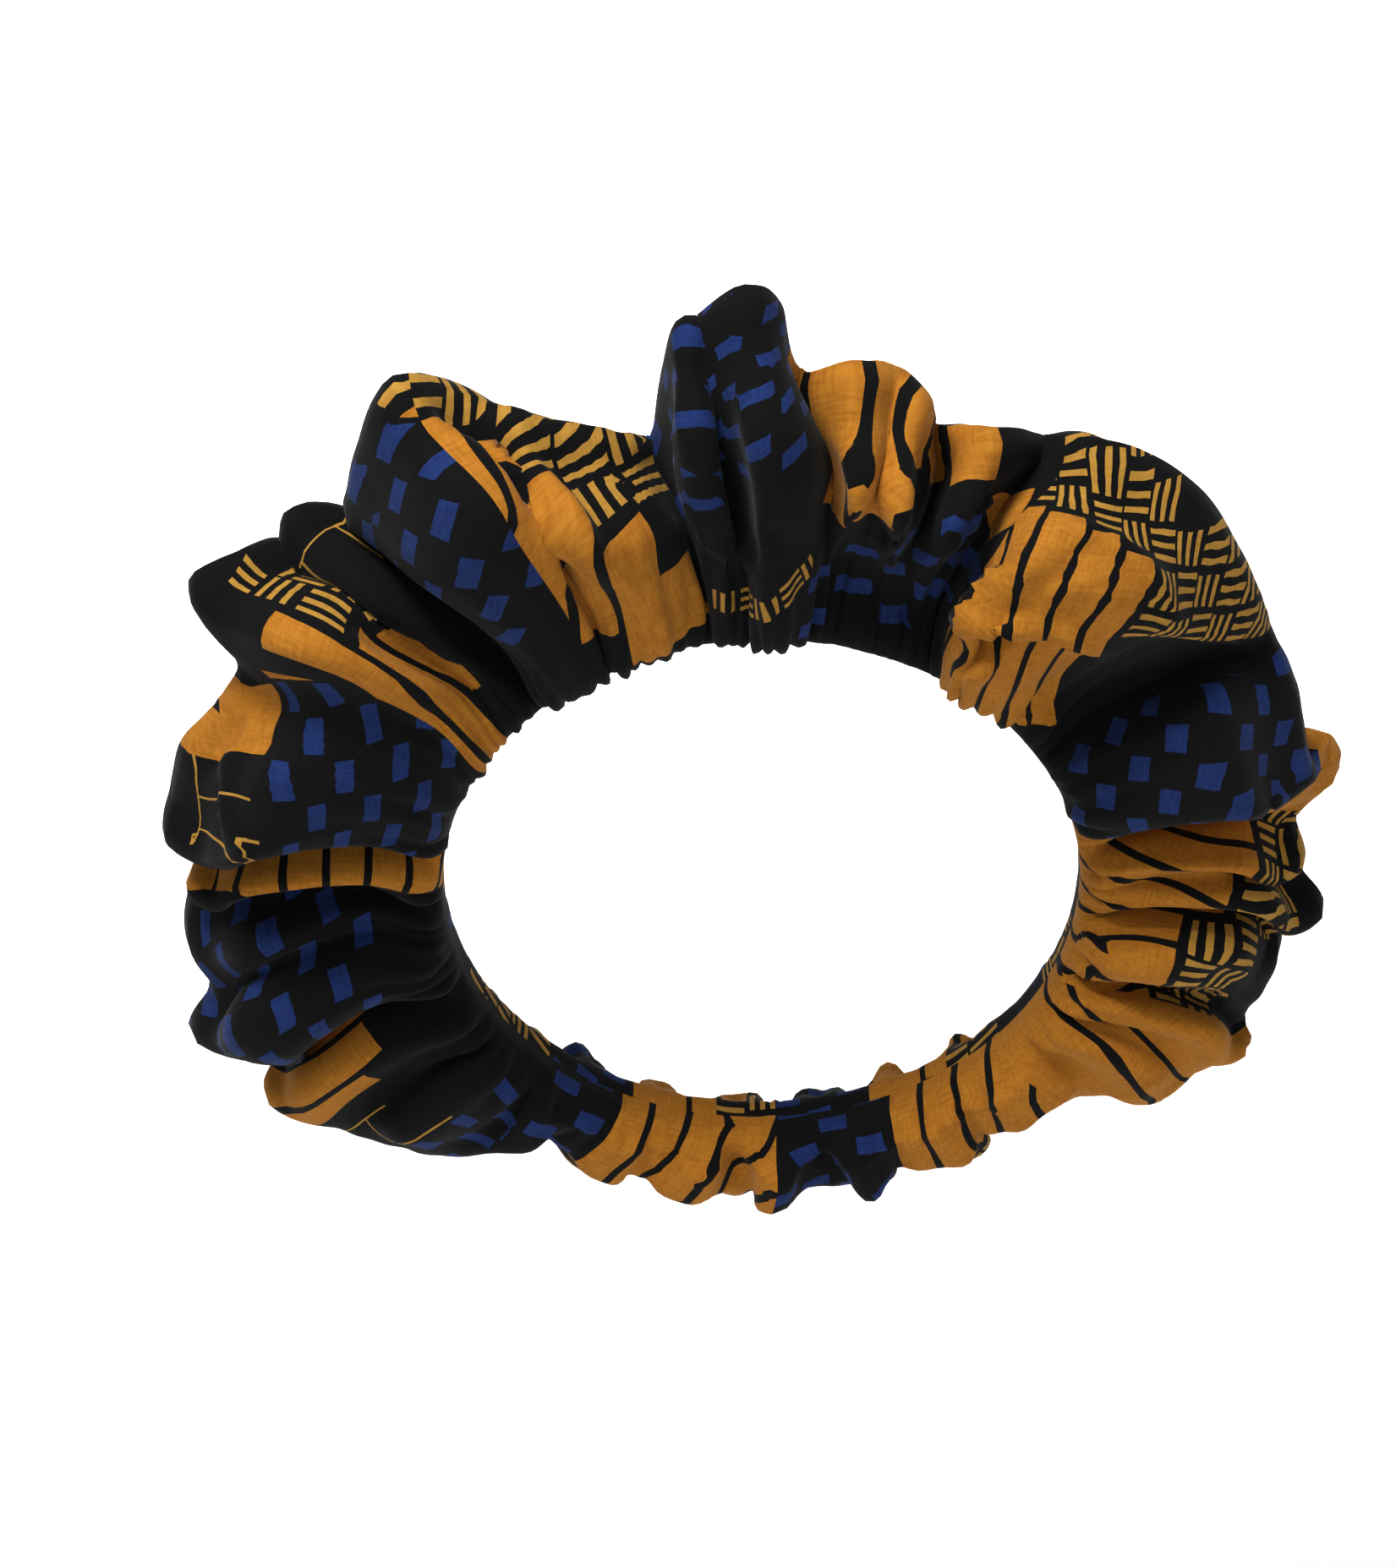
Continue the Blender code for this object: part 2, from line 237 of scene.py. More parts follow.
def evenly_spaced(lines, steps):
    """Open lines resampled so that their points lie evenly along the cloth, ends kept."""
    gaps = np.linalg.norm(np.diff(lines, axis=1), axis=2)
    length = np.concatenate([np.zeros((len(lines), 1)), np.cumsum(gaps, axis=1)], axis=1)
    result = np.empty((len(lines), steps + 1, 3))
    for i in range(len(lines)):
        wanted = np.linspace(0.0, length[i, -1], steps + 1)
        for axis in range(3):
            result[i, :, axis] = np.interp(wanted, length[i], lines[i, :, axis])
    return result


LEAST_LENGTH = 1e-9


def vertex_normals(points):
    """Directions out of the tube's cloth at each of its points."""
    along_edge = np.roll(points, -1, axis=0) - np.roll(points, 1, axis=0)
    around_edge = np.roll(points, -1, axis=1) - np.roll(points, 1, axis=1)
    normal = np.cross(around_edge, along_edge)
    return normal / np.maximum(np.linalg.norm(normal, axis=-1, keepdims=True), LEAST_LENGTH)


NAPE_ANGLE = 540.0
SECTION_CONTROLS = 12
EDGE_CONTROL = 6
STEPS_PER_CONTROL = 24
fold_rows = list(FOLDS) + nape_folds()
fold_names = [row[0] for row in fold_rows]
fold_count = len(fold_rows)
sections = [section_controls(row[1:], index) for index, row in enumerate(fold_rows)]
controls = np.array(sections, dtype=float)
seam_fold = int(np.argmin(np.abs(controls[:, 0, 0] - NAPE_ANGLE)))
controls[:, :, 0] -= (360.0 * np.arange(fold_count) / fold_count)[:, None]
stations = fold_count * STEPS_PER_FOLD
places = seam_fold + np.arange(stations) / STEPS_PER_FOLD
grid = closed_spline(controls, places)
grid[:, :, 0] += 360.0 * places[:, None] / fold_count
section_places = np.arange(0, SECTION_CONTROLS, 1 / STEPS_PER_CONTROL)
edge_step = EDGE_CONTROL * STEPS_PER_CONTROL
fine = np.swapaxes(closed_spline(np.swapaxes(grid, 0, 1), section_places), 0, 1)
fine = ring_points(fine[:, :, 0], fine[:, :, 1], fine[:, :, 2])
front = evenly_spaced(fine[:, : edge_step + 1], FRONT_STEPS)
back = evenly_spaced(np.concatenate([fine[:, edge_step:], fine[:, :1]], axis=1), BACK_STEPS)
cloth = np.concatenate([front[:, :-1], back[:, :-1]], axis=1)
section_steps = FRONT_STEPS + BACK_STEPS


def across_lengths(cloth):
    """Lengths along each section of the tube, from the elastic's front and round."""
    gaps = np.linalg.norm(np.roll(cloth, -1, axis=1) - cloth, axis=2)
    return np.concatenate([np.zeros((len(cloth), 1)), np.cumsum(gaps, axis=1)], axis=1)


# Fine gathers, drawn up on the elastic and fading out into the puffs. Columns of the waves:
# share of the height, waves to a fold, share of the drift along the strip, and start.
GATHER_HEIGHT = 1.5
GATHER_START = 7.0
GATHER_FADE = 34.0
WAVES_SHARE = 0.6
DRIFT = 0.9
DRIFT_TURN = 0.61
DRIFT_ACROSS = 0.02
GATHER_WAVES = (
    (1.0, 1.0, 1.0, 0.0),
    (0.8, 1.27, -0.6, 2.0),
    (0.5, 0.71, 0.8, 4.0),
)
form = cloth
across = across_lengths(cloth)
from_casing = np.minimum(across[:, :-1], across[:, -1:] - across[:, :-1])
station = np.arange(stations)[:, None] / STEPS_PER_FOLD
column = np.arange(section_steps)[None, :]
drift = DRIFT * np.sin(station * DRIFT_TURN + 1.0) + DRIFT_ACROSS * column
waves = 0.0
for share, pitch, drift_share, begin in GATHER_WAVES:
    waves = waves + share * np.sin(2 * math.pi * (station * pitch + drift_share * drift) + begin)
rise_in = np.clip((from_casing - CASING_HALF) / GATHER_START, 0.0, 1.0)
fade_out = np.exp(-np.clip(from_casing - CASING_HALF - GATHER_START, 0.0, None) / GATHER_FADE)
gather_height = GATHER_HEIGHT * waves * rise_in * fade_out * WAVES_SHARE
cloth = cloth + vertex_normals(cloth) * gather_height[:, :, None]

# The cloth is let go for a short while: it is a little longer than the smooth form,
# so it crumples, while a soft pull keeps each puff in its place.
HOLD_CASING = 9.5
HOLD_PUFF = 0.05
SPARE_REACH = 110.0
SPARE_MOST = 0.6
CRUMPLE_FRAMES = 12
MOST_MOVE = 6.0
CLOTH_SETTINGS = {
    "quality": 6,
    "mass": 0.15,
    "tension_stiffness": 12,
    "compression_stiffness": 12,
    "shear_stiffness": 4,
    "bending_model": "ANGULAR",
    "bending_stiffness": 0.5,
    "air_damping": 2,
    "vertex_group_mass": "hold",
    "pin_stiffness": 0.5,
    "shrink_min": -0.13,
    "shrink_max": 0.0,
    "vertex_group_shrink": "spare",
}


def crumple(cloth):
    """The cloth after Blender's cloth simulation, no point moved further than MOST_MOVE."""
    rows, cols = cloth.shape[:2]
    quads = []
    for i in range(rows):
        for k in range(cols):
            n, m = (i + 1) % rows, (k + 1) % cols
            quads.append((i * cols + k, i * cols + m, n * cols + m, n * cols + k))
    trial = bpy.data.meshes.new("trial")
    trial.from_pydata((cloth.reshape(-1, 3) * MM).tolist(), [], quads)
    item = bpy.data.objects.new("trial", trial)
    bpy.context.scene.collection.objects.link(item)
    hold = item.vertex_groups.new(name="hold")
    spare = item.vertex_groups.new(name="spare")
    reach = from_casing.reshape(-1)
    for index in range(rows * cols):
        hold.add([index], 1.0 if reach[index] < HOLD_CASING else HOLD_PUFF, "REPLACE")
        spare.add([index], float(np.clip(reach[index] / SPARE_REACH, 0.0, SPARE_MOST)), "REPLACE")
    cloth_modifier = item.modifiers.new("cloth", "CLOTH")
    settings = cloth_modifier.settings
    for name, value in CLOTH_SETTINGS.items():
        setattr(settings, name, value)
    settings.effector_weights.gravity = 0
    cloth_modifier.collision_settings.use_collision = False
    cloth_modifier.point_cache.frame_start = 1
    cloth_modifier.point_cache.frame_end = CRUMPLE_FRAMES
    for number in range(1, CRUMPLE_FRAMES + 1):
        bpy.context.scene.frame_set(number)
    settled = item.evaluated_get(bpy.context.evaluated_depsgraph_get()).to_mesh()
    result = np.empty(rows * cols * 3)
    settled.vertices.foreach_get("co", result)
    bpy.data.objects.remove(item)
    bpy.context.scene.frame_set(1)
    move = result.reshape(cloth.shape) / MM - cloth
    length = np.maximum(np.linalg.norm(move, axis=2, keepdims=True), LEAST_LENGTH)
    return cloth + move * np.minimum(1.0, MOST_MOVE / length)


# Of the crumple, what stands out of the smooth form is kept, softened, and little of what
# slides along it, so that the print's lines stay nearly straight. The puffs keep their reach.
REACH_SPREAD = 2
SIDEWAYS_SHARE = 0.2
SOFTEN_ROUNDS = 5


def reach_out(cloth):
    """How far the outer edge lies from the casing, evened out along the strip."""
    reach = np.linalg.norm(cloth[:, FRONT_STEPS] - cloth[:, 0], axis=1)
    evened = np.zeros(len(reach))
    for shift in range(-REACH_SPREAD, REACH_SPREAD + 1):
        evened += np.roll(reach, shift)
    return evened / (2 * REACH_SPREAD + 1)


smooth_cloth = cloth
cloth = crumple(cloth)
moved = cloth - smooth_cloth
for _ in range(SOFTEN_ROUNDS):
    for axis in (0, 1):
        moved = moved * 0.5 + (np.roll(moved, 1, axis) + np.roll(moved, -1, axis)) * 0.25
form_normal = vertex_normals(form)
outward = (moved * form_normal).sum(axis=2, keepdims=True) * form_normal
cloth = smooth_cloth + outward + (moved - outward) * SIDEWAYS_SHARE
drawn_in = (reach_out(smooth_cloth) / reach_out(cloth))[:, None, None]
cloth = cloth[:, :1] + (cloth - cloth[:, :1]) * drawn_in

# The print lies on each puff as on flat cloth: every puff's front is opened flat by letting
# its threads come back to their own lengths.
FLATTEN_ROUNDS = 140
LEAN_COLUMN = -3
CLOTH_SEAM = FRONT_STEPS + 2

# How the print lies on each puff. Columns: first fold, how many folds before it the puff begins,
# the fold at its middle, the print's turn in degrees, its stretch along and outward, its slant,
# and the place on the print, along and outward, that lies 60 mm out on the puff's middle line.
PRINT_OUT = 60.0
PUFFS = (
    ("low_left_1", 0.5, "low_left_3", 0, 1, 1, 0, 0, 10),
    ("left_drop_edge", 0.5, "left_drop_dip", 4, 0.92, 0.92, 0.24, 4, -9),
    ("orange_roll", 0.5, "orange_roll", -90, 1, 1, 0, 14, 8),
    ("left_puff_edge", 0.5, "left_puff_top", -18, 0.94, 1.1, -0.02, -5, -13),
    ("left_ridge", 0.5, "left_ridge_top", -1, 1.3, 0.82, -0.02, 10, -13.5),
    ("small_ridge", 0.5, "small_ridge", 0, 1, 1, 0, 6, -10),
    ("crown_left_low", 0.5, "crown_left_face", -36, 0.82, 1.1, 0, -15, -27),
    ("crown_left_groove", 0.9, "stripe_face", 0, 0.82, 0.82, -0.06, 1, 31),
    ("peak_left", 0.5, "peak", -25, 1.56, 1.34, -0.24, -14, -31),
    ("peak_foot", 0.5, "crest_groove", -14, 0.76, 0.98, -0.22, 6, -15.5),
    ("roll_edge", 0.5, "dome_1", -19, 1.28, 1.04, 0.2, 27, -13),
    ("right_face_1", 0.5, "right_face_2", 14, 1.26, 0.88, -0.14, 7.5, -0.5),
    ("right_lobe", 0.5, "right_lobe", 0, 1, 1, 0, 0, 10),
    ("fold_1", 1.4, "fold_2", 11, 1.02, 1.02, 0, -6, 10),
    ("low_right_1", 0.5, "low_right_1", 22, 1.08, 1.08, 0, -18, 10),
    ("nape_1", 0.5, "nape_6", 0, 1, 1, 0, 0, 30),
)


def relax(flat, first, second, length):
    """Moves two slices of points along the lines that join them, to their length apart."""
    gap = flat[second] - flat[first]
    now = np.maximum(np.linalg.norm(gap, axis=-1, keepdims=True), LEAST_LENGTH)
    shift = gap * (0.5 * (1.0 - length[..., None] / now))
    flat[first] += shift
    flat[second] -= shift


def flatten(points, middle):
    """Flat place of each point of one puff's front, the elastic along 0 and its middle line upright."""
    rows, cols = points.shape[:2]
    across_gap = np.linalg.norm(np.diff(points, axis=1), axis=2)
    along_gap = np.linalg.norm(np.diff(points, axis=0), axis=2)
    v = np.concatenate([np.zeros((rows, 1)), np.cumsum(across_gap, axis=1)], axis=1)
    u = np.concatenate([np.zeros((1, cols)), np.cumsum(along_gap, axis=0)], axis=0)
    flat = np.stack([u - u[middle], v], axis=-1)
    pairs = []
    for start in (0, 1):
        pairs.append((np.s_[start:-1:2, :], np.s_[start + 1 :: 2, :]))
        pairs.append((np.s_[:, start:-1:2], np.s_[:, start + 1 :: 2]))
        pairs.append((np.s_[start:-1:2, :-1], np.s_[start + 1 :: 2, 1:]))
        pairs.append((np.s_[start:-1:2, 1:], np.s_[start + 1 :: 2, :-1]))
    lengths = [np.linalg.norm(points[second] - points[first], axis=-1) for first, second in pairs]
    for _ in range(FLATTEN_ROUNDS):
        for (first, second), length in zip(pairs, lengths):
            relax(flat, first, second, length)
    flat -= flat[middle, 0]
    lean = math.atan2(*flat[middle, LEAN_COLUMN])
    turned = np.empty_like(flat)
    turned[..., 0] = flat[..., 0] * math.cos(lean) - flat[..., 1] * math.sin(lean)
    turned[..., 1] = flat[..., 0] * math.sin(lean) + flat[..., 1] * math.cos(lean)
    return turned


def print_at(row, x, y):
    """Place on the print for a place on an opened puff, both in millimetres."""
    turn, stretch_along, stretch_out, slant, print_x, print_y = row[3:]
    turn = math.radians(turn)
    out = (y - PRINT_OUT) * stretch_out
    along = x * stretch_along + out * slant
    return (
        print_x + along * math.cos(turn) - out * math.sin(turn),
        print_y + along * math.sin(turn) + out * math.cos(turn),
    )


def station_of(fold):
    """The nearest station along the strip for a fold, counted from the cross seam."""
    return int(round(((fold - seam_fold) % fold_count) * STEPS_PER_FOLD))


ring = np.concatenate([form, form[:1]])
puff_first = [station_of(fold_names.index(row[0]) - row[1]) for row in PUFFS]
puff_middle = [station_of(fold_names.index(row[2])) for row in PUFFS]
order = sorted(range(len(PUFFS)), key=lambda index: puff_first[index])
pieces = []
for position, index in enumerate(order):
    begin = puff_first[index]
    end = puff_first[order[position + 1]] if position + 1 < len(order) else stations
    if position == 0 and begin > 0:
        pieces.append((order[-1], 0, begin))
    pieces.append((index, begin, end))
flats = []
for index, begin, end in pieces:
    middle = min(max(puff_middle[index], begin), end) - begin
    flats.append(flatten(ring[begin : end + 1, : CLOTH_SEAM + 1], middle))

# Creases: where one part of a puff laps over the next. Columns: crease, the fold and section
# step of each of the three places that it runs through, its depth, and how far it laps over
# to its left or, below zero, to its right.
CREASES = (
    ("peak", 31.7, 36, 31.6, 26, 32.8, 17, 4.5, -3),
    ("dome_lap", 43.2, 18, 44.2, 21, 46.3, 20.5, 5, 3.5),
    ("dome_under", 43.5, 14, 44.0, 17, 44.7, 20.5, 4, -3),
    ("basket_pocket", 43.0, 31.7, 44.7, 31.7, 46.2, 30.4, 3.5, 2.5),
    ("stripe_pocket", 24.3, 41, 24.6, 35, 24.6, 29.5, 4.5, -3),
    ("basket_valley", 26.5, 40, 27.0, 31, 27.5, 23, 3.5, -2),
    ("ridge_roll", 17.8, 28, 17.6, 22, 17.5, 15, 3, -2),
    ("crest_lap", 38.6, 42, 39.2, 36, 39.0, 29, 4, -3),
    ("left_puff", 14.3, 36, 13.5, 32, 12.5, 29, 3.5, 2.5),
    ("left_pouch", 15.4, 39.7, 14.6, 38.3, 13.9, 39.5, 3, 1),
)
CREASE_WIDTH = 5.0
CREASE_POINTS = 24
CREASE_REACH = 16.0
CREASE_LIP = 0.55
CREASE_END = 4.0
VALLEY_SIDE = -0.4
VALLEY_SHARPNESS = 1.6
LIP_SIDE = 1.1
LAP_SIDE = 0.7


def on_front(fold, step):
    """The place on the cloth at a fold and a section step, both with a part in between."""
    place = (fold - seam_fold) % fold_count * STEPS_PER_FOLD
    i, k = int(place), int(step)
    a, b = place - i, step - k
    n = (i + 1) % stations
    near = cloth[i, k] * (1 - b) + cloth[i, k + 1] * b
    far = cloth[n, k] * (1 - b) + cloth[n, k + 1] * b
    return near * (1 - a) + far * a


def lap_over(cloth, row):
    """The cloth with one crease pressed into it, its over side rolled across the line."""
    fold_1, step_1, fold_2, step_2, fold_3, step_3, depth, lap = row[1:]
    line = []
    for t in np.linspace(0.0, 1.0, CREASE_POINTS):
        shares = (2 * (t - 0.5) * (t - 1), -4 * t * (t - 1), 2 * t * (t - 0.5))
        fold = shares[0] * fold_1 + shares[1] * fold_2 + shares[2] * fold_3
        step = shares[0] * step_1 + shares[1] * step_2 + shares[2] * step_3
        line.append(on_front(fold, step))
    line = np.array(line)
    ahead = np.gradient(line, axis=0)
    ahead /= np.linalg.norm(ahead, axis=1, keepdims=True)
    tree = KDTree(CREASE_POINTS)
    for number, point in enumerate(line):
        tree.insert(point, number)
    tree.balance()
    normal = vertex_normals(cloth)
    result = cloth.copy()
    over = 1.0 if lap > 0 else -1.0
    for i, k in np.ndindex(stations, FRONT_STEPS + 1):
        point = cloth[i, k]
        _, number, distance = tree.find(point)
        if distance > CREASE_REACH:
            continue
        aside = np.cross(normal[i, k], ahead[number]) * over
        past = np.dot(point - line[number], ahead[number])
        ends = math.sin(math.pi * (number + 0.5) / CREASE_POINTS) ** 0.5
        taper = ends * math.exp(-((past / CREASE_END) ** 2))
        side = np.dot(point - line[number], aside) / CREASE_WIDTH
        valley = math.exp(-((side - VALLEY_SIDE) ** 2) * VALLEY_SHARPNESS)
        lip = CREASE_LIP * math.exp(-((side - LIP_SIDE) ** 2))
        across = abs(lap) * math.exp(-((side - LAP_SIDE) ** 2))
        result[i, k] += (normal[i, k] * depth * (lip - valley) - aside * across) * taper
    return result


for row in CREASES:
    cloth = lap_over(cloth, row)

# The print's chart, a row for each 12 mm column of a puff, in millimetres outward. Columns:
# puff, column, orange from and to, basket weave from and to, blue bricks from and to, and how
# the column is drawn: 1 with a black line beside it, 0 without, 2 only outlined in gold.
CHART = (
    ("low_left_1", -2, 0, -1, 0, -1, -40, 12, 1),
    ("low_left_1", -1, -16, 12, 0, -1, 0, -1, 2),
    ("low_left_1", 0, 2, 26, 0, -1, 0, -1, 2),
    ("low_left_1", 1, -4, 60, 0, -1, 0, -1, 1),
    ("low_left_1", 2, -14, 60, 0, -1, 0, -1, 1),
    ("low_left_1", 3, -16, 60, 0, -1, 0, -1, 1),
    ("left_drop_edge", 0, 0, -1, 0, -1, -40, 70, 1),
    ("orange_roll", 0, -9, 9, 12, 30, 0, -1, 1),
    ("left_puff_edge", -2, 0, -1, 0, -1, -52, 4, 1),
    ("left_puff_edge", -1, 8, 44, 0, -1, -52, 4, 2),
    ("left_puff_edge", 0, 8, 44, 0, -1, -52, 4, 2),
    ("left_puff_edge", 1, 7, 48, 0, -1, -52, 4, 0),
    ("left_puff_edge", 2, 7, 34, 0, -1, -52, 4, 1),
    ("left_puff_edge", 3, -60, 4, 0, -1, 0, -1, 1),
    ("left_ridge", -2, 0, -1, 0, -1, -60, 0, 1),
    ("left_ridge", -1, -60, 15, 0, -1, 0, -1, 1),
    ("left_ridge", 0, -60, -2, 0, 33, 0, -1, 1),
    ("left_ridge", 1, -34, -6, -4, 27, 0, -1, 1),
    ("left_ridge", 2, 0, -1, 0, -1, 0, -1, 1),
    ("small_ridge", 0, 6, 26, 0, -1, 0, -1, 2),
    ("crown_left_low", 2, 0, -1, 0, -1, -36, 50, 1),
    ("crown_left_low", 3, -30, 17, 19, 50, 0, -1, 0),
    ("crown_left_low", 4, -30, 17, 19, 50, 0, -1, 0),
    ("crown_left_groove", -3, 30, 75, 77, 105, 0, -1, 1),
    ("crown_left_groove", -2, 20, 72, 74, 105, 0, -1, 1),
    ("crown_left_groove", -1, 11, 55, 57, 93, 0, -1, 1),
    ("crown_left_groove", 0, 0, 37, 39, 74, 0, -1, 0),
    ("crown_left_groove", 1, 0, 22, 37, 74, 0, -1, 1),
    ("crown_left_groove", 2, 0, -1, 0, -1, 30, 90, 1),
    ("peak_left", 0, 0, -1, -68, -54, -4, 100, 1),
    ("peak_foot", -2, 20, 110, 0, -1, -64, -20, 1),
    ("peak_foot", -1, -13, 110, 0, -1, -64, -24, 1),
    ("peak_foot", 0, -10, 110, 0, -1, -64, -24, 1),
    ("peak_foot", 1, -3, 110, 0, -1, -64, -20, 1),
    ("peak_foot", 2, -8, 110, 0, -1, -64, -20, 1),
    ("peak_foot", 3, -13, 3, 0, -1, -64, -20, 1),
    ("peak_foot", 4, -34, -20, 0, -1, -64, -40, 1),
    ("peak_foot", 5, 0, -1, 0, -1, -64, -30, 1),
    ("roll_edge", -1, -60, 31, 33, 72, 0, -1, 1),
    ("roll_edge", 0, -60, 28, 30, 69, 0, -1, 1),
    ("roll_edge", 1, -60, 24, 26, 65, 0, -1, 1),
    ("roll_edge", 2, -60, 20, 22, 61, 0, -1, 1),
    ("roll_edge", 3, 0, -1, -6, 46, 0, -1, 1),
    ("roll_edge", 4, 0, -1, -6, 33, 0, -1, 1),
    ("right_face_1", -6, 0, -1, -10, 42, 0, -1, 1),
    ("right_face_1", -5, 0, -1, 0, -1, -40, 70, 1),
    ("right_lobe", 0, -60, 100, 0, -1, 0, -1, 0),
    ("fold_1", -1, -60, -2, 0, 26, 0, -1, 1),
    ("fold_1", 0, -60, 4, 6, 32, 0, -1, 1),
    ("fold_1", 1, -60, -8, -6, 20, 0, -1, 1),
    ("low_right_1", -2, -60, 40, 0, -1, 0, -1, 0),
    ("low_right_1", -1, -60, 40, 0, -1, 0, -1, 1),
    ("low_right_1", 0, -60, 40, 0, -1, 0, -1, 1),
    ("low_right_1", 1, -60, 40, 0, -1, 0, -1, 0),
    ("nape_1", -4, -60, 8, 10, 60, 0, -1, 1),
    ("nape_1", -3, -60, 8, 10, 60, 0, -1, 1),
    ("nape_1", -2, 0, -1, 0, -1, -60, 60, 1),
    ("nape_1", -1, 0, -1, 0, -1, -60, 60, 1),
    ("nape_1", 0, 0, -1, 0, -1, -60, 60, 1),
    ("back", 0, 0, 30, 32, 58, 64, 120, 1),
    ("back", 1, 9, 39, 41, 67, 73, 120, 1),
    ("back", 2, 18, 48, 50, 76, 82, 120, 1),
    ("back", 3, 27, 57, 59, 85, 0, 14, 0),
    ("back", 4, 27, 57, 59, 85, 0, 14, 1),
    ("back", 5, 0, -1, 0, -1, 0, 60, 1),
    ("back", 6, 0, -1, 0, -1, 0, 70, 1),
    ("back", 7, 0, -1, 0, -1, 0, 80, 1),
)
CHART_LOW = -70.0
CHART_SPAN = 200.0
BACK_REPEAT = "back"
ALL_COLUMNS = 1000
DRAWN_WAYS = 2.0

chart_rows = {}
for number, row in enumerate(CHART):
    low, count, start = chart_rows.get(row[0], (row[1], 0, number))
    chart_rows[row[0]] = (low, count + 1, start)

# Thickness: the cloth's right and wrong sides, half a wall each way from its middle. Each of
# the two seams is a fine dip with a low rise beside it.
SEAM_DIP = 0.5
SEAM_RISE = 0.25
cloth_normal = vertex_normals(cloth)
dip = np.zeros(cloth.shape[:2])
dip[:, CLOTH_SEAM] = SEAM_DIP
dip[:, CLOTH_SEAM - 1] = -SEAM_RISE
dip[:, CLOTH_SEAM + 1] = -SEAM_RISE
dip[0, :] = SEAM_DIP
dip[1, :] = -SEAM_RISE
dip[-1, :] = -SEAM_RISE
dip[:, :3] = 0.0
dip[:, -2:] = 0.0
cloth = cloth - cloth_normal * dip[:, :, None]
cloth_normal = vertex_normals(cloth)
outer = ((cloth + cloth_normal * CLOTH_WALL * 0.5) * MM).reshape(-1, 3)
inner = ((cloth - cloth_normal * CLOTH_WALL * 0.5) * MM).reshape(-1, 3)

# The back is printed by its length along the strip and its place across, evened along it.
BACK_EVEN = 14
across = across_lengths(cloth)
evened = np.zeros(across.shape)
for shift in range(-BACK_EVEN, BACK_EVEN + 1):
    evened += np.roll(across, shift, axis=0)
across = evened / (2 * BACK_EVEN + 1)
back_start = across[:, CLOTH_SEAM]
across = np.concatenate([across, across[:1]])
back_start = np.concatenate([back_start, back_start[:1]])

# The faces of both sides, with each corner's place on the print, and its place for the bake:
# there the strip lies cut in rows, its right side large and its wrong side small.
BAKE_ROWS = 3
BAKE_EDGE = 0.004
ROW_EDGE = 3 * BAKE_EDGE
WRONG_SIDE_SHARE = 0.06
WRONG_ROWS_SHARE = 0.9
bake_run = stations / BAKE_ROWS
faces = []
print_place = []
bake_place = []
chart_low = []
chart_count = []
chart_start = []
chart_most = []
piece_of = np.zeros(stations, dtype=int)
for number, (index, begin, end) in enumerate(pieces):
    piece_of[begin:end] = number
total = stations * section_steps
along_step = CLOTH_LENGTH / MM / stations
for wrong in (False, True):
    shift = total if wrong else 0
    for i in range(stations):
        n = (i + 1) % stations
        index, begin, end = pieces[piece_of[i]]
        flat = flats[piece_of[i]]
        front_chart = chart_rows[PUFFS[index][0]]
        back_chart = chart_rows[BACK_REPEAT]
        band = min(int(i // bake_run), BAKE_ROWS - 1)
        for k in range(section_steps):
            m = (k + 1) % section_steps
            ring_face = [(i, k), (i, m), (n, m), (n, k)]
            steps = [(i, k), (i, k + 1), (i + 1, k + 1), (i + 1, k)]
            if wrong:
                ring_face = [ring_face[0], ring_face[3], ring_face[2], ring_face[1]]
                steps = [steps[0], steps[3], steps[2], steps[1]]
            faces.append([shift + a * section_steps + b for a, b in ring_face])
            for a, b in steps:
                if k < CLOTH_SEAM:
                    print_place.append(print_at(PUFFS[index], *flat[a - begin, b]))
                else:
                    print_place.append(((a - stations / 2) * along_step, across[a, b] - back_start[a]))
                x = BAKE_EDGE + (1 - 2 * BAKE_EDGE) * (a - band * bake_run) / bake_run
                y = b / section_steps
                if wrong:
                    y = 1 - WRONG_SIDE_SHARE * (1 - WRONG_ROWS_SHARE * (band + y) / BAKE_ROWS)
                else:
                    in_row = (band + ROW_EDGE + (1 - 2 * ROW_EDGE) * y) / BAKE_ROWS
                    y = (1 - WRONG_SIDE_SHARE) * in_row
                bake_place.append((x, y))
            low, count, start = front_chart if k < CLOTH_SEAM else back_chart
            chart_low.append(low if k < CLOTH_SEAM else -ALL_COLUMNS * count)
            chart_most.append(low + count - 1 if k < CLOTH_SEAM else ALL_COLUMNS * count)
            chart_count.append(count)
            chart_start.append(start)

mesh = bpy.data.meshes.new("cover_look")
mesh.from_pydata(np.concatenate([outer, inner]).tolist(), [], faces)
print_place = np.array(print_place, dtype=np.float32) * MM
bake_place = np.array(bake_place, dtype=np.float32)
mesh.uv_layers.new(name="cloth").data.foreach_set("uv", print_place.ravel())
mesh.uv_layers.new(name="OFBake").data.foreach_set("uv", bake_place.ravel())
chart_layers = {
    "chart_low": chart_low,
    "chart_most": chart_most,
    "chart_count": chart_count,
    "chart_start": chart_start,
}
for name, values in chart_layers.items():
    layer = mesh.attributes.new(name, "FLOAT", "FACE")
    layer.data.foreach_set("value", np.array(values, dtype=np.float32))
mesh.shade_smooth()
cover = bpy.data.objects.new("cover_look", mesh)
bpy.context.scene.collection.objects.link(cover)


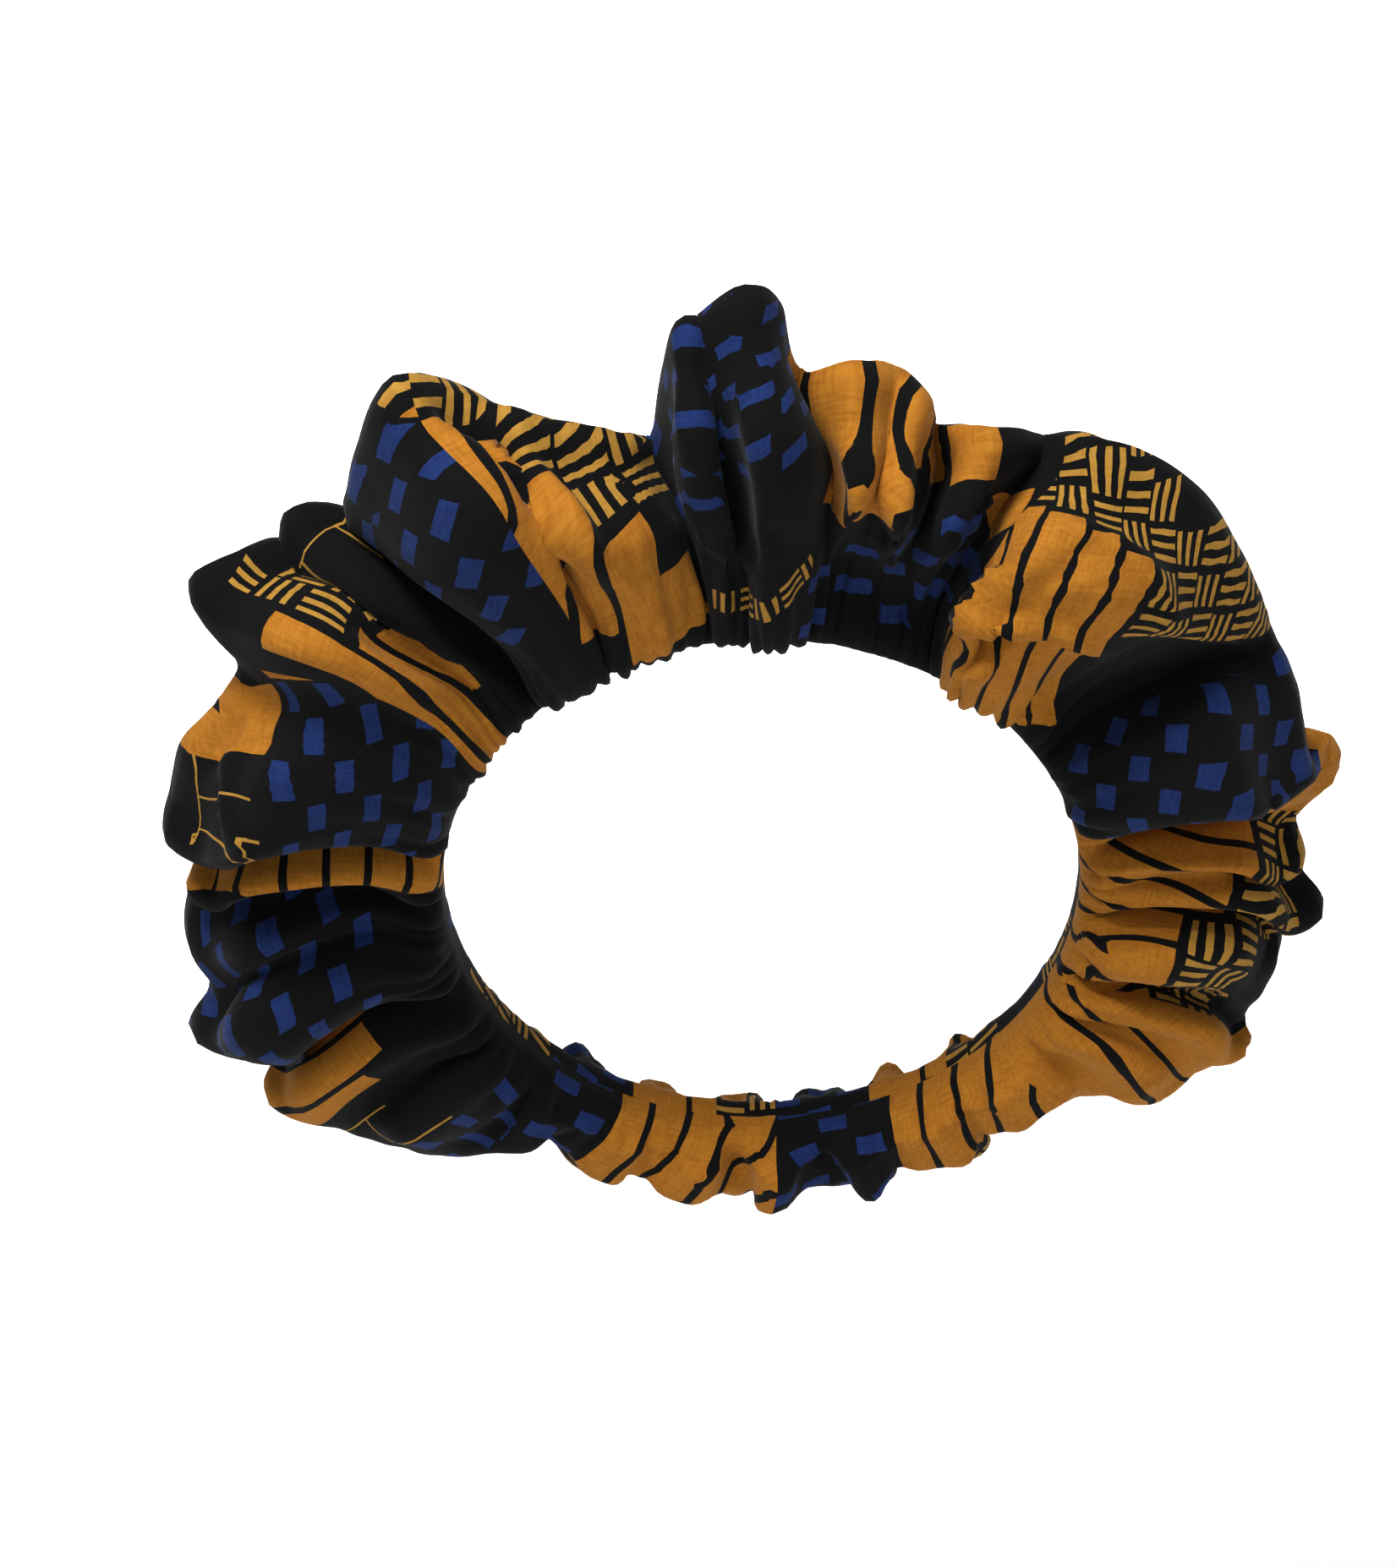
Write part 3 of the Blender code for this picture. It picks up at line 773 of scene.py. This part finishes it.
class Value:
    """A shader value that can be used in arithmetic."""

    def __init__(self, shader, socket):
        self.shader = shader
        self.socket = socket

    def math(self, operation, *others):
        return self.shader.math(operation, self, *others)

    def __add__(self, other):
        return self.math("ADD", other)

    __radd__ = __add__

    def __sub__(self, other):
        return self.math("SUBTRACT", other)

    def __rsub__(self, other):
        return self.shader.math("SUBTRACT", other, self)

    def __mul__(self, other):
        return self.math("MULTIPLY", other)

    __rmul__ = __mul__

    def __truediv__(self, other):
        return self.math("DIVIDE", other)

    def floor(self):
        return self.math("FLOOR")

    def modulo(self, other):
        return self.math("FLOORED_MODULO", other)

    def size(self):
        return self.math("ABSOLUTE")

    def below(self, other):
        return self.math("LESS_THAN", other)

    def above(self, other):
        return self.math("GREATER_THAN", other)

    def between(self, low, high):
        return self.above(low) * self.below(high)

    def either(self, other):
        return self.math("MAXIMUM", other)

    def least(self, other):
        return self.math("MINIMUM", other)


class Shader:
    """The node tree of one material."""

    def __init__(self, name):
        self.material = bpy.data.materials.new(name)
        self.material.use_nodes = True
        self.tree = self.material.node_tree
        self.surface = self.tree.nodes["Principled BSDF"]

    def node(self, kind, settings=None, inputs=None, output=0):
        node = self.tree.nodes.new(kind)
        for key, value in (settings or {}).items():
            if key == "stops":
                self.ramp(node.color_ramp, value)
            else:
                setattr(node, key, value)
        for key, value in (inputs or {}).items():
            self.feed(node.inputs[key], value)
        return Value(self, node.outputs[output])

    def ramp(self, ramp, stops):
        ramp.interpolation = "CONSTANT"
        ramp.elements.remove(ramp.elements[-1])
        for position, numbers in stops:
            stop = ramp.elements[0] if position == 0 else ramp.elements.new(position)
            stop.color = numbers

    def feed(self, socket, value):
        if isinstance(value, Value):
            self.tree.links.new(value.socket, socket)
        else:
            socket.default_value = value

    def math(self, operation, *values):
        return self.node("ShaderNodeMath", {"operation": operation}, dict(enumerate(values)))

    def mix(self, share, low, high, blend="MIX"):
        settings = {"data_type": "RGBA", "blend_type": blend}
        return self.node("ShaderNodeMix", settings, {0: share, 6: low, 7: high}, output=2)

    def parts(self, vector):
        split = self.node("ShaderNodeSeparateXYZ", inputs={0: vector})
        return [Value(self, socket) for socket in split.socket.node.outputs]

    def number(self, name):
        return self.node("ShaderNodeAttribute", {"attribute_name": name}, output="Fac")

    def set(self, **inputs):
        for key, value in inputs.items():
            self.feed(self.surface.inputs[key.replace("_", " ")], value)


def srgb(red, green, blue):
    """A shader colour from 0 to 255 red, green and blue as a screen shows them."""
    levels = [x / 255 for x in (red, green, blue)]
    return tuple(x / 12.92 if x <= 0.04045 else ((x + 0.055) / 1.055) ** 2.4 for x in levels) + (1.0,)


# Printed cotton: a wax print in matte ochre, gold and dark blue on black, not stiff or shiny.
# The chart gives each column's runs, and the lines, bars and bricks are drawn in them.
MM_PER_M = 1000.0
CELL = 12.0
LINE = 2.3
BRICK_PITCH = 16.0
BRICK_HALF_LONG = 4.7
BRICK_HALF_WIDE = 2.5
BAR_CELL = 13.0
BAR_HALF = 0.95
BAR_START = 1.1
BAR_END = 0.9
GOLD_LINE = 0.8
STOPS = 32
BLACK = srgb(15, 15, 16)
ORANGE_DEEP = srgb(140, 88, 22)
ORANGE_PALE = srgb(180, 129, 50)
GOLD_DEEP = srgb(140, 106, 44)
GOLD_PALE = srgb(178, 140, 68)
BLUE_DEEP = srgb(20, 36, 80)
BLUE_PALE = srgb(40, 62, 112)
cotton = Shader("printed_cotton")
place = cotton.node("ShaderNodeUVMap", {"uv_map": "cloth"})
u, v = cotton.parts(place)[:2]
u = u * MM_PER_M
v = v * MM_PER_M
column = (u / CELL).floor()
in_column = u - column * CELL
low = cotton.number("chart_low")
row = column.math("MAXIMUM", low).least(cotton.number("chart_most")) - low
row = row.modulo(cotton.number("chart_count")) + cotton.number("chart_start")


def level(value):
    """A chart number as a ramp's level from 0 to 1."""
    return min(max((value - CHART_LOW) / CHART_SPAN, 0.0), 1.0)


def chart_lookup(part):
    """Three chart numbers and the way of drawing, read at the column's row."""
    result = None
    for start in range(0, len(CHART), STOPS):
        stops = []
        for number, line in enumerate(CHART[start : start + STOPS]):
            numbers = [level(value) for value in line[part : part + 3]]
            stops.append((number / STOPS, (*numbers, line[-1] / DRAWN_WAYS)))
        place_in = (row - start + 0.5) / STOPS
        ramp = cotton.node("ShaderNodeValToRGB", {"stops": stops}, {0: place_in})
        colour = ramp
        alpha = Value(cotton, ramp.socket.node.outputs["Alpha"])
        if result is None:
            result = (colour, alpha)
        else:
            later = row.above(start - 0.5)
            result = (cotton.mix(later, result[0], colour), result[1] + later * (alpha - result[1]))
    numbers = [share * CHART_SPAN + CHART_LOW for share in cotton.parts(result[0])[:3]]
    return numbers + [result[1] * DRAWN_WAYS]


orange_from, orange_to, basket_from, drawn = chart_lookup(2)
basket_to, brick_from, brick_to, _ = chart_lookup(5)
filled = drawn.below(1.5)
line_wide = drawn.above(0.5) * LINE
in_orange = v.between(orange_from, orange_to)
orange = in_orange * filled * (in_column + line_wide).below(CELL)
at_edge = in_column.below(GOLD_LINE).either((v - orange_to).above(-GOLD_LINE))
outline = drawn.above(1.5) * in_orange * at_edge
basket_row = ((v - basket_from) / BAR_CELL).floor()
in_row = v - basket_from - basket_row * BAR_CELL
turned = (column + basket_row).modulo(2.0).above(0.5)
in_basket = v.between(basket_from, basket_to)


def three_bars(over, along, size):
    """Bars in one cell: three side by side, shorter than the cell."""
    pitch = size / 3.0
    bar = (over.modulo(pitch) - pitch / 2.0).size().below(BAR_HALF)
    return bar * along.between(BAR_START, size - BAR_END)


bars = in_basket * (
    turned * three_bars(in_row, in_column, BAR_CELL)
    + (1 - turned) * three_bars(in_column, in_row, CELL)
)
offset = column.modulo(2.0) * BRICK_PITCH * 0.5
brick_row = ((v - offset) / BRICK_PITCH + 0.5).floor()
brick_middle = brick_row * BRICK_PITCH + offset
brick_wide = (v - brick_middle).size().below(BRICK_HALF_WIDE)
brick_long = (in_column - CELL / 2.0).size().below(BRICK_HALF_LONG)
brick = brick_wide * brick_long * brick_middle.between(brick_from, brick_to)

# Plain weave: uneven threads both ways, a little lighter and darker, raised by a hair.
THREAD_PITCH = 0.42
THREAD_HEIGHT = 0.00012
THREAD_LENGTH = 7.0
THREAD_CONTRAST = 1.5
BLOTCH_CONTRAST = 0.35
ROUGH_LEAST = 0.75
ROUGH_SPAN = 0.2
thread_shade = []
for along, over in ((1.0, THREAD_LENGTH), (THREAD_LENGTH, 1.0)):
    pair = THREAD_PITCH * 2.0
    stretch = (MM_PER_M / (pair * along), MM_PER_M / (pair * over), 1.0)
    stretched = cotton.node("ShaderNodeMapping", inputs={"Vector": place, "Scale": stretch})
    threads = {"Vector": stretched, "Scale": 1.0, "Detail": 1.0}
    thread_shade.append(cotton.node("ShaderNodeTexNoise", inputs=threads))
weave = (thread_shade[0] + thread_shade[1]) * 0.5
blotch = cotton.node("ShaderNodeTexNoise", inputs={"Vector": place, "Scale": 60.0, "Detail": 3.0})
worn = (weave - 0.5) * THREAD_CONTRAST + (blotch - 0.5) * BLOTCH_CONTRAST + 0.5

colour = cotton.mix(orange, BLACK, cotton.mix(worn, ORANGE_DEEP, ORANGE_PALE))
colour = cotton.mix(bars.either(outline), colour, cotton.mix(worn, GOLD_DEEP, GOLD_PALE))
colour = cotton.mix(brick, colour, cotton.mix(worn, BLUE_DEEP, BLUE_PALE))
raised = {"Height": weave, "Strength": 0.6, "Distance": THREAD_HEIGHT}
cotton.set(
    Base_Color=colour,
    Roughness=ROUGH_LEAST + weave * ROUGH_SPAN,
    Normal=cotton.node("ShaderNodeBump", inputs=raised),
    Specular_IOR_Level=0.15,
    Sheen_Weight=0.05,
    Sheen_Roughness=0.5,
)
mesh.materials.append(cotton.material)
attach(cover, "root")
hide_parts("cover")

# Elastic: a flat woven band hidden in the middle of the strip, sewn into a ring.
# The strip is pushed up along it, and it keeps the gathers closed round the opening.
ELASTIC_STEPS = 360
ELASTIC_INNER_RADIUS = 91.6
ELASTIC_THICKNESS = 1.2
ELASTIC_HALF_WIDTH = 4.0
ELASTIC_CORNERS = ((0, -1), (0, 1), (1, 1), (1, -1))
RIBS = 5.0
RIB_HEIGHT = 0.0002
elastic_points = []
elastic_faces = []
for i in range(ELASTIC_STEPS):
    angle = 2 * math.pi * i / ELASTIC_STEPS
    j = (i + 1) % ELASTIC_STEPS
    for k, (out, up) in enumerate(ELASTIC_CORNERS):
        radius = ELASTIC_INNER_RADIUS + out * ELASTIC_THICKNESS
        elastic_points.append(ring_points(math.degrees(angle), radius, up * ELASTIC_HALF_WIDTH) * MM)
        m = (k + 1) % 4
        elastic_faces.append((i * 4 + k, j * 4 + k, j * 4 + m, i * 4 + m))
elastic_mesh = bpy.data.meshes.new("elastic_look")
elastic_mesh.from_pydata(elastic_points, [], elastic_faces)
elastic = bpy.data.objects.new("elastic_look", elastic_mesh)
bpy.context.scene.collection.objects.link(elastic)
webbing = Shader("woven_elastic")
along_band = webbing.node("ShaderNodeTexCoord", output="Object")
ribs_per_metre = MM_PER_M * RIBS / (2 * ELASTIC_HALF_WIDTH)
rib = (webbing.parts(along_band)[1] * ribs_per_metre).modulo(1.0)
rib_height = (rib - 0.5).size() * 2.0
# The band's colour is darker down in the grooves between its ribs and paler on top of them: painted
# shade, following the ribs' height.
webbing.set(
    Base_Color=webbing.mix(rib_height, srgb(206, 203, 194), srgb(236, 234, 226)),
    Roughness=0.8,
    Normal=webbing.node("ShaderNodeBump", inputs={"Height": rib_height, "Distance": RIB_HEIGHT}),
)
elastic_mesh.materials.append(webbing.material)
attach(elastic, "root")
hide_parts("elastic")

# Studio: a plain pale floor well below the band, and a lit white wall far behind it, which
# keep the background white. The band stays at the height where it is worn, as it is held up.
FLOOR_DROP = 0.32
FLOOR_HALF = 30.0
WALL_DISTANCE = 7.0
WALL_HEIGHT = 5.0
WALL_HALF = 14.0
PAPER_WHITE = (0.97, 0.97, 0.97, 1.0)
WHITE = (1.0, 1.0, 1.0, 1.0)
floor_height = start_box[0][2] - FLOOR_DROP


def studio_panel(name, corners, paper):
    """A flat panel of the studio, covered in its paper."""
    panel_mesh = bpy.data.meshes.new(name)
    panel_mesh.from_pydata(corners, [], [(0, 1, 2, 3)])
    panel_mesh.materials.append(paper.material)
    panel = bpy.data.objects.new(name, panel_mesh)
    bpy.context.scene.collection.objects.link(panel)


white_paper = Shader("white_paper")
white_paper.set(Base_Color=PAPER_WHITE, Roughness=1.0, Specular_IOR_Level=0.0)
floor_corners = (
    (-FLOOR_HALF, -FLOOR_HALF, floor_height),
    (FLOOR_HALF, -FLOOR_HALF, floor_height),
    (FLOOR_HALF, FLOOR_HALF, floor_height),
    (-FLOOR_HALF, FLOOR_HALF, floor_height),
)
studio_panel("floor", floor_corners, white_paper)
lit_wall = Shader("lit_wall")
lit_wall.set(
    Base_Color=PAPER_WHITE,
    Roughness=1.0,
    Specular_IOR_Level=0.0,
    Emission_Color=WHITE,
    Emission_Strength=0.95,
)
wall_corners = (
    (-WALL_HALF, WALL_DISTANCE, floor_height),
    (WALL_HALF, WALL_DISTANCE, floor_height),
    (WALL_HALF, WALL_DISTANCE, floor_height + WALL_HEIGHT),
    (-WALL_HALF, WALL_DISTANCE, floor_height + WALL_HEIGHT),
)
studio_panel("wall", wall_corners, lit_wall)

# Light: a soft key lamp from the front left and a weak one from the right, a wide lamp over
# the floor behind the band, and an even light all round.
ROUND_LIGHT = 0.36
BAND_MIDDLE = (0.0, 0.0, 0.05)
FLOOR_LAMP = (0.0, 4.3, 2.2)
UNDER_FLOOR_LAMP = (0.0, 4.31, -1.0)
world = bpy.data.worlds.new("studio")
bpy.context.scene.world = world
world.use_nodes = True
world.node_tree.nodes["Background"].inputs["Color"].default_value = WHITE
world.node_tree.nodes["Background"].inputs["Strength"].default_value = ROUND_LIGHT


def soft_light(name, place, target, size, power, spread=180.0):
    """A square soft lamp at a place, pointed at a target."""
    lamp = bpy.data.lights.new(name, "AREA")
    lamp.size = size
    lamp.energy = power
    lamp.spread = math.radians(spread)
    holder = bpy.data.objects.new(name, lamp)
    holder.location = place
    aim = Vector(target) - Vector(place)
    holder.rotation_euler = aim.to_track_quat("-Z", "Y").to_euler()
    bpy.context.scene.collection.objects.link(holder)


soft_light("key_light", place=(-0.45, -0.9, 1.15), target=BAND_MIDDLE, size=0.45, power=29.0)
soft_light("fill_light", place=(0.9, -0.9, 0.3), target=BAND_MIDDLE, size=0.9, power=3.0)
soft_light("floor_light", FLOOR_LAMP, UNDER_FLOOR_LAMP, size=6.0, power=160.0, spread=60.0)

# Camera: level with the band's front and a little above, as in the photo.
CAMERA_DISTANCE = 0.9
PIXELS_PER_MM = 4.2
CAMERA_TILT = math.radians(8)
IMAGE_WIDTH = 1651
IMAGE_HEIGHT = 1855
RING_CENTRE_PIXEL = (900, 1049)
SENSOR = 36.0
VIEW_GAMMA = 0.82
lens_direction = Vector((0.0, math.cos(CAMERA_TILT), -math.sin(CAMERA_TILT)))
lens_up = Vector((0.0, math.sin(CAMERA_TILT), math.cos(CAMERA_TILT)))
lens_right = Vector((1.0, 0.0, 0.0))
shift_right = (IMAGE_WIDTH / 2 - RING_CENTRE_PIXEL[0]) / PIXELS_PER_MM * MM
shift_up = (RING_CENTRE_PIXEL[1] - IMAGE_HEIGHT / 2) / PIXELS_PER_MM * MM
eye = lens_right * shift_right + lens_up * shift_up - lens_direction * CAMERA_DISTANCE
camera_data = bpy.data.cameras.new("camera")
camera_data.sensor_width = SENSOR
camera_data.sensor_fit = "VERTICAL"
camera_data.sensor_height = SENSOR
camera_data.lens = PIXELS_PER_MM * CAMERA_DISTANCE / MM / IMAGE_HEIGHT * SENSOR
camera = bpy.data.objects.new("camera", camera_data)
turn = Matrix((lens_right, lens_up, -lens_direction)).transposed().to_4x4()
camera.matrix_world = Matrix.Translation(eye) @ turn
bpy.context.scene.collection.objects.link(camera)
bpy.context.scene.camera = camera
bpy.context.scene.view_settings.view_transform = "Standard"
bpy.context.scene.view_settings.gamma = VIEW_GAMMA
